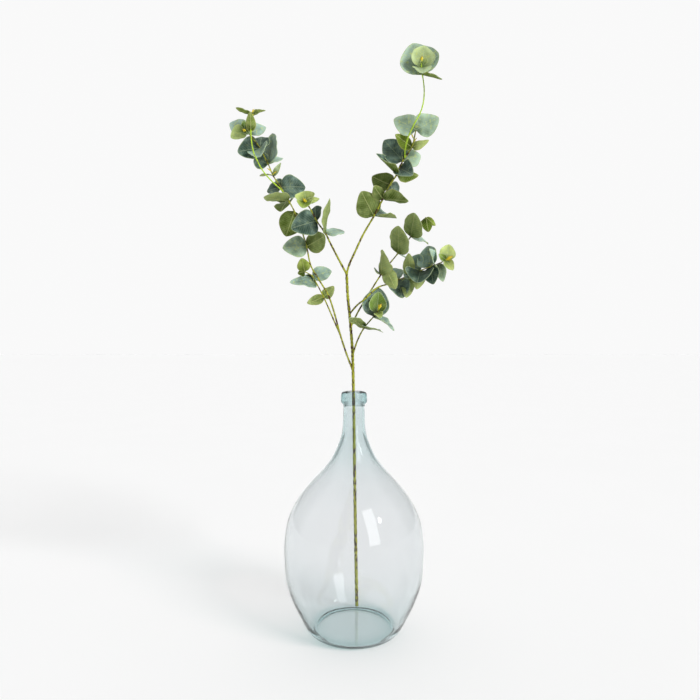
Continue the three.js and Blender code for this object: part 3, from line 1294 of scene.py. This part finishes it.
    def build(
        self,
        tree: bpy.types.NodeTree,
        finishes: dict[str, bpy.types.Material],
        first: int,
    ) -> bpy.types.Object:
        """Grows the spray and makes it a plain mesh.

        Args:
            tree: The leafy stem tree.
            finishes: The materials by the name of the tree's input.
            first: The number of the spray's first leaf along the branch.

        Returns:
            The finished object.
        """
        skeleton = Skeleton()
        self.add_stem(skeleton)
        index = first
        for i, node in enumerate(self.nodes):
            for leaf in node.leaves:
                self.add_leaf(skeleton, leaf, i, index)
                index += 1
        self.add_buds(skeleton)
        bones = bpy.data.objects.new(f"{self.name}.bones", skeleton.mesh(f"{self.name}.bones"))
        bpy.context.scene.collection.objects.link(bones)
        modifier = bones.modifiers.new("Leafy stem", "NODES")
        modifier.node_group = tree
        given = {
            "Blade thickness": self.blade_thickness,
            "Blade stations": self.blade_stations,
            "Blade lanes": self.blade_lanes,
            "Stem sides": self.stem_sides,
            **finishes,
        }
        for socket in tree.interface.items_tree:
            if socket.in_out == "INPUT" and socket.name in given:
                modifier[socket.identifier] = given[socket.name]
        grown = bones.evaluated_get(bpy.context.evaluated_depsgraph_get())
        mesh = bpy.data.meshes.new_from_object(grown)
        mesh.name = self.name
        for name in [a.name for a in mesh.attributes if not (a.is_internal or a.is_required)]:
            if name not in (*self.KEPT, "material_index", "sharp_edge", "sharp_face"):
                mesh.attributes.remove(mesh.attributes[name])
        bpy.data.objects.remove(bones)
        piece = bpy.data.objects.new(f"{self.name}.dressed", mesh)
        bpy.context.scene.collection.objects.link(piece)
        return piece

    def dress(self, piece: bpy.types.Object) -> None:
        """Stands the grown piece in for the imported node.

        Args:
            piece: The grown piece.
        """
        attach(piece, BODY)
        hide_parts(self.name)


@dataclass
class Branch:
    """The whole branch: its main stem and the sprays and shoots that fork from it."""

    sprays: list[Spray] = field(
        default_factory=lambda: [
            Spray(
                "main_stem",
                "stem",
                (3.2, 2.4),
                0,
                [
                    Node((6, 67.5, 9.7)),
                    Node((2, 29, 226)),
                    Node((-1, -12, 432)),
                    Node((-3, -27, 504)),
                    Node((-6, -34, 545)),
                    Node((-8, -37, 568)),
                    Node((-11, -40, 597)),
                    Node((-13, -42, 637)),
                ],
                steps=40,
            ),
            Spray(
                "spray_left_fork",
                "leaf",
                (1.9, 1.1),
                9,
                [
                    Node((-13, -42, 637)),
                    Node((-23, -44, 655)),
                    Node((-42, -50, 691)),
                    Node(
                        (-49, -53, 705),
                        (
                            Leaf((31, 30, 10), Facing.TILTED, 0.8, tone=0.9),
                            Leaf((8, -24, 54), Facing.GROWTH, 0.85, tone=0.3),
                        ),
                    ),
                    Node(
                        (-64, -60, 725),
                        (Leaf((-42, -14, -16), Facing.FRONT, 1.1, tone=-0.5), Leaf((-4, 25, 31), tone=-1)),
                    ),
                    Node((-75, -68, 745)),
                    Node(
                        (-81, -78, 753),
                        (
                            Leaf((-3, 7, 20), Facing.FRONT, 1.7, age=0.85, tone=0.4, fold=0.25),
                            Leaf((23, -2, 5), Facing.FRONT, 0.55, age=0.9),
                            Leaf((-4, -15, -14), Facing.TILTED, 1.5, age=0.95, tone=-0.4, fold=0.3),
                        ),
                    ),
                ],
            ),
            Spray(
                "spray_right_fork",
                "leaf",
                (1.9, 1.1),
                0,
                [
                    Node((-13, -42, 637)),
                    Node((-9, -43, 652)),
                    Node((2, -46, 676)),
                    Node((16, -50, 705)),
                    Node(
                        (34, -55, 735),
                        (
                            Leaf((-22, -22, 36), Facing.BACK, 1.05, tone=-0.2),
                            Leaf((40, 18, 0), Facing.FRONT_UP, 1.2, tone=0.2, fold=0.3),
                        ),
                    ),
                    Node(
                        (49, -60, 763),
                        (
                            Leaf((42, -16, -8), Facing.BACK_UP, 0.95, tone=-0.3, fold=0.3),
                            Leaf((-16, -18, 17), Facing.BACK, 0.85, tone=-0.1),
                        ),
                    ),
                    Node(
                        (61, -64, 786),
                        (
                            Leaf((-30, 16, 19), Facing.BACK, 1.15, tone=-0.4),
                            Leaf((14, 30, -12), Facing.FRONT, 0.9, tone=-0.1),
                        ),
                    ),
                    Node(
                        (72, -68, 802),
                        (
                            Leaf((-36, -24, 27), Facing.RIGHT_UP, 0.75, tone=-0.5, fold=0.35),
                            Leaf((41, 36, 10), Facing.BACK, 0.5, tone=-0.6),
                        ),
                    ),
                    Node(
                        (76, -70, 812),
                        (
                            Leaf((20, -26, -20), Facing.FRONT, tone=-0.4, fold=0.2),
                            Leaf((26, 10, 8), Facing.TILTED, 0.6, tone=0.9),
                        ),
                    ),
                    Node(
                        (82, -72, 824),
                        (
                            Leaf((-31, 10, 38), Facing.FRONT, 0.95, tone=-0.35),
                            Leaf((32, 20, 16), Facing.FRONT, 0.95, age=0.15, tone=1.2),
                        ),
                    ),
                    Node(
                        (96, -80, 844),
                        (
                            Leaf((-29, -20, 14), Facing.BACK, 0.62, age=0.35, tone=-0.9),
                            Leaf((31, 16, 18), Facing.BACK, 0.42, age=0.2, tone=0.9),
                        ),
                    ),
                    Node(
                        (101, -98, 866),
                        (
                            Leaf((-35, 10, 22), Facing.FRONT, 1.05, age=0.15, tone=0.6),
                            Leaf((38, 6, 23), Facing.FRONT, age=0.15, tone=0.4),
                        ),
                    ),
                ],
                side_buds=(((97, -84, 850), (7, -6, 6)), ((98, -88, 856), (-5, -6, 7))),
            ),
            Spray(
                "shoot_right_top",
                "young_leaf",
                (1.2, 0.9),
                8,
                [
                    Node((85, -74, 828)),
                    Node((84, -88, 836)),
                    Node((87, -112, 849)),
                    Node((96, -124, 867)),
                    Node((105, -122, 884)),
                    Node((111, -115, 904)),
                    Node((113, -110, 928)),
                    Node(
                        (110, -112, 950),
                        (
                            # Its high tone paints it paler: painted light against the shadow that the inner
                            # leaf casts on it.
                            Leaf((-15, 6, 54), Facing.FRONT, 1.2, age=0.1, tone=2.6, fold=0.15),
                            Leaf((27, -28, -20), Facing.UP, 0.7, age=0.2, tone=-0.7),
                        ),
                    ),
                    Node(
                        (107, -122, 957),
                        (
                            Leaf((5, 3, 36), Facing.FRONT, 1.15, age=0.6, tone=1, fold=0.15),
                            Leaf((8, -5, 14), Facing.FRONT, 0.9, age=0.8, tone=0.2),
                            Leaf((-1, -18, -18), Facing.TILTED, 1.3, age=0.4, tone=1),
                        ),
                    ),
                    Node((107, -124, 966)),
                ],
                twig=GREEN_TWIG,
            ),
            Spray(
                "spray_right_upper",
                "leaf",
                (1.6, 0.9),
                0,
                [
                    Node((-6, -34, 545)),
                    Node((7, -34, 572)),
                    Node((20, -32, 594)),
                    Node(
                        (47, -32, 637),
                        (Leaf((1, -24, 40), Facing.RIGHT, 0.9, fold=0.25), Leaf((-4, 34, 6))),
                    ),
                    Node((56, -32, 649), (Leaf((14, -30, -40), Facing.BACK, 0.55, tone=0.5),)),
                    Node(
                        (77, -28, 675),
                        (Leaf((-1, -30, 42), Facing.GROWTH, 1.15, tone=0.5), Leaf((8, 44, 8))),
                    ),
                    Node(
                        (100, -26, 705),
                        (
                            Leaf((3, -33, 34), Facing.GROWTH, 1.05, tone=0.4),
                            Leaf((34, 27, -8), Facing.TILTED, tone=0.8),
                        ),
                    ),
                    Node((116, -28, 729)),
                    Node(
                        (126, -34, 737),
                        (
                            Leaf((3, -10, -27), Facing.BACK, 0.75, age=0.1, tone=-1.2),
                            Leaf((16, -4, -15), Facing.BACK, 0.6, age=0.9, tone=-0.3),
                        ),
                    ),
                ],
            ),
            Spray(
                "spray_right_middle",
                "leaf",
                (1.6, 0.9),
                14,
                [
                    Node((-8, -37, 568)),
                    Node((5, -52, 582)),
                    Node((17, -62, 591)),
                    Node((39, -48, 612)),
                    Node((63, -18, 623)),
                    Node(
                        (78, -12, 630),
                        (
                            Leaf((6, -30, -35), Facing.FRONT, tone=-0.3),
                            Leaf((-12, 34, 24), Facing.FRONT, tone=0.5),
                        ),
                    ),
                    Node(
                        (99, -16, 638),
                        (
                            Leaf((-5, -32, 34), Facing.BACK, 0.5, tone=1),
                            Leaf((-9, -30, -42), Facing.BACK, 0.5, tone=1),
                        ),
                    ),
                    Node(
                        (117, -26, 645),
                        (
                            Leaf((-26, 22, 16), Facing.FRONT, 1.5, tone=0.2, fold=0.2),
                            # Its low tone is painted shade for the deep shadow inside this curled leaf.
                            Leaf((-10, -38, -26), Facing.FRONT_UP, 1.3, tone=-0.6, fold=0.35),
                            Leaf((-8, -12, -34), Facing.BACK, 0.75, tone=0.8),
                        ),
                    ),
                    Node(
                        (134, -36, 651),
                        (
                            Leaf((-4, 16, 38), Facing.LEFT, 1.2, tone=0.3),
                            Leaf((4, -8, -32), Facing.LEFT, 1.1, tone=-0.7),
                        ),
                    ),
                    Node((140, -40, 653), (Leaf((-14, -32, 22), Facing.GROWTH, 0.8, tone=1.4),)),
                    Node((147, -44, 655), (Leaf((9, 12, -30), Facing.FRONT, 0.65, age=0.2, tone=0),)),
                    Node(
                        (158, -52, 660),
                        (
                            Leaf((7, 9, 28), Facing.FRONT, age=0.8, tone=0.7),
                            Leaf((11, -8, -19), Facing.FRONT, 0.8, age=0.9),
                            Leaf((-14, -8, 9), Facing.FRONT, 0.8, age=0.9, tone=-0.5),
                        ),
                    ),
                ],
            ),
            Spray(
                "spray_right_lower",
                "leaf",
                (1.6, 0.9),
                10,
                [
                    Node((-2, -27, 498)),
                    Node((6, -36, 522)),
                    Node(
                        (17, -42, 543),
                        (Leaf((-26, -32, 16), Facing.BACK_UP, 0.6, tone=0.3), Leaf((31, -27, -8))),
                    ),
                    Node(
                        (34, -47, 563),
                        (
                            Leaf((8, 10, 51), Facing.FRONT, 1.1, tone=0, fold=0.15),
                            Leaf((33, -24, -26), Facing.UP, 0.65, tone=0.3),
                        ),
                    ),
                    Node(
                        (39, -55, 569),
                        (
                            Leaf((3, 2, 36), Facing.FRONT, age=0.6, tone=-0.8, fold=0.15),
                            Leaf((6, -16, -10), Facing.TILTED, age=0.85),
                        ),
                    ),
                    Node((42, -61, 576)),
                ],
            ),
            Spray(
                "spray_left_long",
                "leaf",
                (1.7, 0.9),
                7,
                [
                    Node((-2, -20, 468)),
                    Node((-14, -30, 500)),
                    Node((-24, -36, 531)),
                    Node((-37, -43, 578)),
                    Node((-45, -45, 600)),
                    Node((-61, -46, 627)),
                    Node((-75, -44, 651)),
                    Node(
                        (-83, -38, 686),
                        (
                            Leaf((-40, -16, -6), Facing.FRONT, 0.95, age=0.15, tone=0.2),
                            Leaf((33, -24, 14), Facing.BACK, tone=0),
                        ),
                    ),
                    Node((-94, -28, 720)),
                    Node((-106, -22, 751), (Leaf((-14, -8, -46), Facing.BACK, 1.05, tone=-0.3),)),
                    Node(
                        (-116, -20, 770),
                        (
                            Leaf((-40, -28, -1), Facing.GROWTH, 0.85, tone=0.5),
                            Leaf((-18, 39, -10), tone=-0.8),
                        ),
                    ),
                    Node(
                        (-130, -20, 794),
                        (
                            Leaf((42, 16, 4), Facing.FRONT, tone=-0.45),
                            Leaf((-27, 20, -2), Facing.FRONT, 0.75, tone=-0.45),
                            Leaf((-8, 14, 19), Facing.FRONT, 0.75, tone=-0.5),
                        ),
                    ),
                    Node(
                        (-143, -24, 813),
                        (
                            Leaf((15, -10, 20), Facing.FRONT, 0.45, age=0.5, tone=0.8),
                            Leaf((-26, 12, 3), Facing.UP, 0.5),
                        ),
                    ),
                    Node(
                        (-151, -30, 832),
                        (
                            Leaf((24, 18, 16), Facing.TILTED, 0.75, tone=0.8),
                            Leaf((-27, 12, 12), Facing.FRONT, 1.1, tone=-0.4),
                            Leaf((7, 6, 56), Facing.LEFT, 1.15, tone=0.55),
                        ),
                    ),
                    Node(
                        (-165, -36, 858),
                        (
                            Leaf((-38, -4, -8), Facing.FRONT, 1.2, tone=-0.5, fold=0.2),
                            Leaf((0, 24, 28), Facing.FRONT, 1.1, tone=-0.75),
                            Leaf((6, -30, -25), Facing.GROWTH, 1.2, tone=0.45),
                        ),
                    ),
                    Node((-170, -41, 865)),
                    Node(
                        (-182, -52, 878),
                        (
                            Leaf((-34, 12, 22), Facing.FRONT, 0.8, tone=0.9),
                            Leaf((27, 20, 18), Facing.FRONT, 0.75, tone=0.35),
                        ),
                    ),
                    Node(
                        (-186, -60, 879),
                        (
                            Leaf((-24, -4, -13), Facing.FRONT, 1.15, age=0.75, tone=0.3, fold=0.25),
                            Leaf((-3, 2, 18), Facing.FRONT, 0.75, age=0.6, tone=-0.7),
                            Leaf((7, -5, -8), Facing.FRONT, age=0.5, tone=-0.8),
                        ),
                    ),
                ],
                side_buds=(((-144, -25, 815), (8, -6, 4)), ((-146, -26, 820), (-6, -7, 5))),
            ),
            Spray(
                "shoot_left_top",
                "young_leaf",
                (1.2, 0.9),
                12,
                [
                    Node((-120, -20, 776)),
                    Node((-127, -38, 784)),
                    Node((-143, -50, 797)),
                    Node((-156, -60, 811)),
                    Node((-165, -72, 827)),
                    Node((-169, -82, 838)),
                    Node((-172, -86, 868), (Leaf((0, -8, 30), Facing.BACK, 0.65, age=0.25, tone=-0.1),)),
                    Node(
                        (-170, -82, 897),
                        (
                            Leaf((-27, -5, 10), Facing.GROWTH, 0.7, age=0.4, tone=-0.7),
                            Leaf((21, 6, 10), Facing.GROWTH, 0.7, age=0.35, tone=0.2),
                        ),
                    ),
                ],
                twig=GREEN_TWIG,
            ),
            Spray(
                "spray_left_short",
                "leaf",
                (1.5, 0.9),
                0,
                [
                    Node((-24, -36, 531)),
                    Node((-36, -30, 558)),
                    Node((-45, -24, 579)),
                    Node(
                        (-54, -20, 599),
                        (
                            Leaf((-28, -14, -12), Facing.BACK, 0.65, tone=0.3),
                            Leaf((18, 14, 21), Facing.BACK, 0.72, tone=0.5),
                        ),
                    ),
                    Node((-66, -18, 622), (Leaf((-47, -12, 2), Facing.TILTED, 0.8, tone=0.65),)),
                    Node(
                        (-74, -20, 636),
                        (
                            Leaf((33, 22, 12), Facing.FRONT, 0.75, tone=0.35),
                            Leaf((-8, 18, -6), Facing.FRONT, tone=-0.45),
                        ),
                    ),
                    Node(
                        (-87, -30, 643),
                        (
                            Leaf((-4, -10, 22), Facing.BACK, 1.15, age=0.9, tone=-0.2),
                            Leaf((-13, 8, -2), Facing.BACK, 1.1, age=0.6, tone=-0.7),
                        ),
                    ),
                ],
            ),
        ]
    )

    def build(self) -> list[bpy.types.Object]:
        """Grows and dresses every spray in order.

        Returns:
            The finished pieces.
        """
        tree = SprayTree().build()
        shared = {
            "Upper finish": LEAF_UPPER.material(),
            "Under finish": LEAF_UNDER.material(),
            "Bud finish": BudFinish().material(),
        }
        twigs = {finish: finish.material() for finish in (WOODY_STEM, GREEN_TWIG)}
        pieces = []
        first = 1
        for spray in self.sprays:
            piece = spray.build(tree, {**shared, "Stem finish": twigs[spray.twig]}, first)
            spray.dress(piece)
            first += spray.leaf_count()
            pieces.append(piece)
        return pieces


# ------------------------------------------------------------------------ bottle


@dataclass
class Bottle:
    """The blown glass bottle, turned about its own axis, with radius and height in mm."""

    name: str = "bottle"
    slot: str = "glass"
    segments: int = 144
    steps: int = 5
    floor: float = 8.0
    punt: float = 4.2
    base_shares: tuple[float, ...] = (0.02, 0.3, 0.6, 0.75, 0.85, 0.92, 0.97)
    floor_shares: tuple[float, ...] = (0.9, 0.7, 0.5, 0.3, 0.15, 0.02)
    outside: tuple[Ring, ...] = (
        (70, 0), (79, 4), (87.5, 13), (97, 31), (111, 60), (121.5, 92), (125, 130), (125, 162),
        (118.5, 201), (102, 235), (78.4, 265), (55, 290), (39.8, 310), (30, 330), (23, 350),
        (20, 370), (19.4, 390), (19.4, 405),
    )
    lip: tuple[Ring, ...] = (
        (20.6, 407.5), (23.2, 410.5), (23.8, 415), (22.8, 426), (21, 429.3), (19, 430),
        (17, 429.4), (15.4, 427),
    )
    inside: tuple[Ring, ...] = (
        (14.8, 421), (14.4, 390), (14.8, 370), (17.4, 350), (24.6, 330), (34.8, 310), (51.0, 290),
        (75.4, 265), (99.8, 235), (116.5, 201), (123.2, 162), (123.2, 130), (119.5, 93), (108.8, 62),
        (94.6, 33.5), (86.4, 18.5), (81, 11), (76.5, 8.3), (70, 8),
    )

    def profile(self) -> list[Ring]:
        """Runs the wall's outline from under the base, over the lip, to the floor inside.

        Returns:
            The rings' radii and heights in mm, from axis to axis.
        """
        wall = [Vector((r, 0.0, z)) for r, z in (*self.outside, *self.lip, *self.inside)]
        fine = [(p.x, p.z) for p in smooth_line(wall, self.steps)]
        first, last = fine[0][0], fine[-1][0]
        # The underside is pushed up inside a foot ring, and the floor inside is flat.
        below = [(first * s, self.punt * (1 - s**8)) for s in self.base_shares]
        above = [(last * s, self.floor) for s in self.floor_shares]
        return [(r, max(z, 0.0)) for r, z in (*below, *fine, *above)]

    def build(self) -> bpy.types.Object:
        """Turns the outline about the axis into one closed wall.

        Returns:
            The bottle, without a finish.
        """
        rings = self.profile()
        n = self.segments
        points = [
            (r * math.cos(2 * math.pi * k / n) * MM, r * math.sin(2 * math.pi * k / n) * MM, z * MM)
            for r, z in rings
            for k in range(n)
        ]
        points += [(0.0, 0.0, rings[0][1] * MM), (0.0, 0.0, rings[-1][1] * MM)]
        low, high = len(points) - 2, len(points) - 1
        top = (len(rings) - 1) * n
        faces = [(low, (k + 1) % n, k) for k in range(n)]
        for i in range(len(rings) - 1):
            for k in range(n):
                after = (k + 1) % n
                faces.append((i * n + k, i * n + after, (i + 1) * n + after, (i + 1) * n + k))
        faces += [(top + k, top + (k + 1) % n, high) for k in range(n)]
        mesh = bpy.data.meshes.new(self.name)
        mesh.from_pydata(points, [], faces)
        mesh.shade_smooth()
        piece = bpy.data.objects.new(f"{self.name}.dressed", mesh)
        bpy.context.scene.collection.objects.link(piece)
        return piece

    def dress(self, piece: bpy.types.Object) -> None:
        """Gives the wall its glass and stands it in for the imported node.

        Args:
            piece: The turned wall.
        """
        piece.data.materials.append(GlassFinish().material())
        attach(piece, BODY)
        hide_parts(self.name)


# ------------------------------------------------------------------------ studio


@dataclass
class Studio:
    """A pale floor in soft light, with dark cloths behind and the camera level and in front."""

    eye: Point = (-0.0072, -1.05, 0.505)
    lens: float = 580 / 700 * 36
    floor_size: float = 120.0
    # How bright the room is, as light on the object and as the glass shows it
    backdrop: float = 0.95
    back_light: float = 0.8
    back_shine: float = 0.95
    room_light: float = 0.2
    room_shine: float = 0.75
    side_light: float = 0.5
    # Where the lamps' light comes from, seen from the bottle
    key_from: Point = (0.64, -0.56, 0.5)
    key_angle: float = 22.0
    key_power: float = 2.82
    lamp_aim: Point = (0.0, 0.0, 0.25)
    lamp_distance: float = 2.4
    box_from: Point = (0.46, -0.7, 0.44)
    box_size: tuple[float, float] = (0.75, 2.2)
    box_power: float = 12.0
    bulb_from: Point = (0.66, -0.51, 0.56)
    bulb_size: float = 0.24
    bulb_power: float = 2.0

    def build(self) -> None:
        """Builds the floor, the sky, the lamps and the camera."""
        self.add_floor()
        self.add_sky()
        self.add_lamps()
        self.add_camera()

    def add_floor(self) -> None:
        """Lays the pale floor, which isn't part of the object."""
        half = self.floor_size / 2
        mesh = bpy.data.meshes.new("floor")
        corners = [(-half, -half, 0), (half, -half, 0), (half, half, 0), (-half, half, 0)]
        mesh.from_pydata(corners, [], [(0, 1, 2, 3)])
        mesh.materials.append(FloorFinish().material())
        floor = bpy.data.objects.new("floor", mesh)
        bpy.context.scene.collection.objects.link(floor)

    def add_sky(self) -> None:
        """Sets the pale backdrop, with a darker room behind the camera and dark cloths at the sides."""
        world = bpy.data.worlds.new("Pale studio")
        world.use_nodes = True
        tree = world.node_tree
        tree.nodes.clear()
        path = add_node(tree, "ShaderNodeLightPath")
        way = add_node(tree, "ShaderNodeTexCoord")
        parts = add_node(tree, "ShaderNodeSeparateXYZ", None, {0: way.outputs["Generated"]})
        by_glass = add_node(
            tree,
            "ShaderNodeMath",
            {"operation": "MAXIMUM"},
            {0: path.outputs["Is Glossy Ray"], 1: path.outputs["Is Transmission Ray"]},
        )
        front = add_node(
            tree,
            "ShaderNodeMix",
            {"data_type": "FLOAT"},
            {0: by_glass, 2: self.room_light, 3: self.room_shine},
        )
        behind = add_node(
            tree,
            "ShaderNodeMix",
            {"data_type": "FLOAT"},
            {0: by_glass, 2: self.back_light, 3: self.back_shine},
        )
        room = add_node(
            tree,
            "ShaderNodeMapRange",
            {"interpolation_type": "SMOOTHSTEP"},
            {
                "Value": parts.outputs["Y"],
                "From Min": -0.8,
                "From Max": 0.6,
                "To Min": front,
                "To Max": behind,
            },
        )
        # Dark cloths behind, to the left and right, draw the thin grey lines along the bottle's edges.
        aside = add_node(tree, "ShaderNodeMath", {"operation": "ABSOLUTE"}, {0: parts.outputs["X"]})
        outward = add_node(
            tree,
            "ShaderNodeMapRange",
            {"interpolation_type": "SMOOTHSTEP"},
            {"Value": aside, "From Min": 0.15, "From Max": 0.6},
        )
        rearward = add_node(
            tree,
            "ShaderNodeMapRange",
            {"interpolation_type": "SMOOTHSTEP"},
            {"Value": parts.outputs["Y"], "From Min": 0.0, "From Max": 0.35},
        )
        hung = add_node(
            tree,
            "ShaderNodeMath",
            {"operation": "MULTIPLY"},
            {0: outward.outputs["Result"], 1: rearward.outputs["Result"]},
        )
        met = add_node(tree, "ShaderNodeMath", {"operation": "MULTIPLY"}, {0: hung, 1: by_glass})
        cloths = add_node(
            tree, "ShaderNodeMapRange", None, {"Value": met, "To Min": 1.0, "To Max": self.side_light}
        )
        around = add_node(
            tree,
            "ShaderNodeMath",
            {"operation": "MULTIPLY"},
            {0: room.outputs["Result"], 1: cloths.outputs["Result"]},
        )
        shown = add_node(
            tree,
            "ShaderNodeMix",
            {"data_type": "FLOAT"},
            {0: path.outputs["Is Camera Ray"], 2: around, 3: self.backdrop},
        )
        light = add_node(
            tree,
            "ShaderNodeBackground",
            None,
            {"Color": (1.0, 1.0, 1.0, 1.0), "Strength": shown.outputs[0]},
        )
        add_node(tree, "ShaderNodeOutputWorld", None, {"Surface": light})
        bpy.context.scene.world = world

    def add_lamps(self) -> None:
        """Hangs the soft lamp to the right of the camera, and the box and bulb that show in the glass."""
        even = bpy.data.lights.new("Soft light", "SUN")
        even.energy = self.key_power
        even.angle = math.radians(self.key_angle)
        far = self.hang(even, self.key_from)
        far.visible_glossy = False
        far.visible_transmission = False
        box = bpy.data.lights.new("Soft box", "AREA")
        box.shape = "RECTANGLE"
        box.size, box.size_y = self.box_size
        box.energy = self.box_power
        self.hang(box, self.box_from).visible_diffuse = False
        bulb = bpy.data.lights.new("Bulb", "AREA")
        bulb.shape = "DISK"
        bulb.size = self.bulb_size
        bulb.energy = self.bulb_power
        self.hang(bulb, self.bulb_from).visible_diffuse = False

    def hang(self, lamp: bpy.types.Light, way: Point) -> bpy.types.Object:
        """Hangs a lamp so that it shines on the bottle's belly.

        Args:
            lamp: The lamp.
            way: The direction that its light comes from.

        Returns:
            The hung lamp.
        """
        aim = Vector(way).normalized()
        hung = bpy.data.objects.new(lamp.name, lamp)
        hung.location = Vector(self.lamp_aim) + aim * self.lamp_distance
        hung.rotation_euler = aim.to_track_quat("Z", "Y").to_euler()
        bpy.context.scene.collection.objects.link(hung)
        return hung

    def add_camera(self) -> None:
        """Sets the level camera."""
        view = bpy.data.cameras.new("Camera")
        view.sensor_fit = "HORIZONTAL"
        view.sensor_width = 36.0
        view.lens = self.lens
        holder = bpy.data.objects.new("Camera", view)
        holder.location = self.eye
        holder.rotation_euler = (math.pi / 2, 0.0, 0.0)
        bpy.context.scene.collection.objects.link(holder)
        bpy.context.scene.camera = holder
        bpy.context.scene.view_settings.view_transform = "Standard"


def main() -> None:
    """Builds the bottle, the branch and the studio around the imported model."""
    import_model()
    bottle = Bottle()
    glass = bottle.build()
    bottle.dress(glass)
    pieces = [glass, *Branch().build()]
    Studio().build()
    for piece in pieces:
        LOG.info("%s: %d faces", piece.name, len(piece.data.polygons))


if __name__ == "__main__":
    logging.basicConfig(level=logging.INFO, format="%(message)s")
    main()
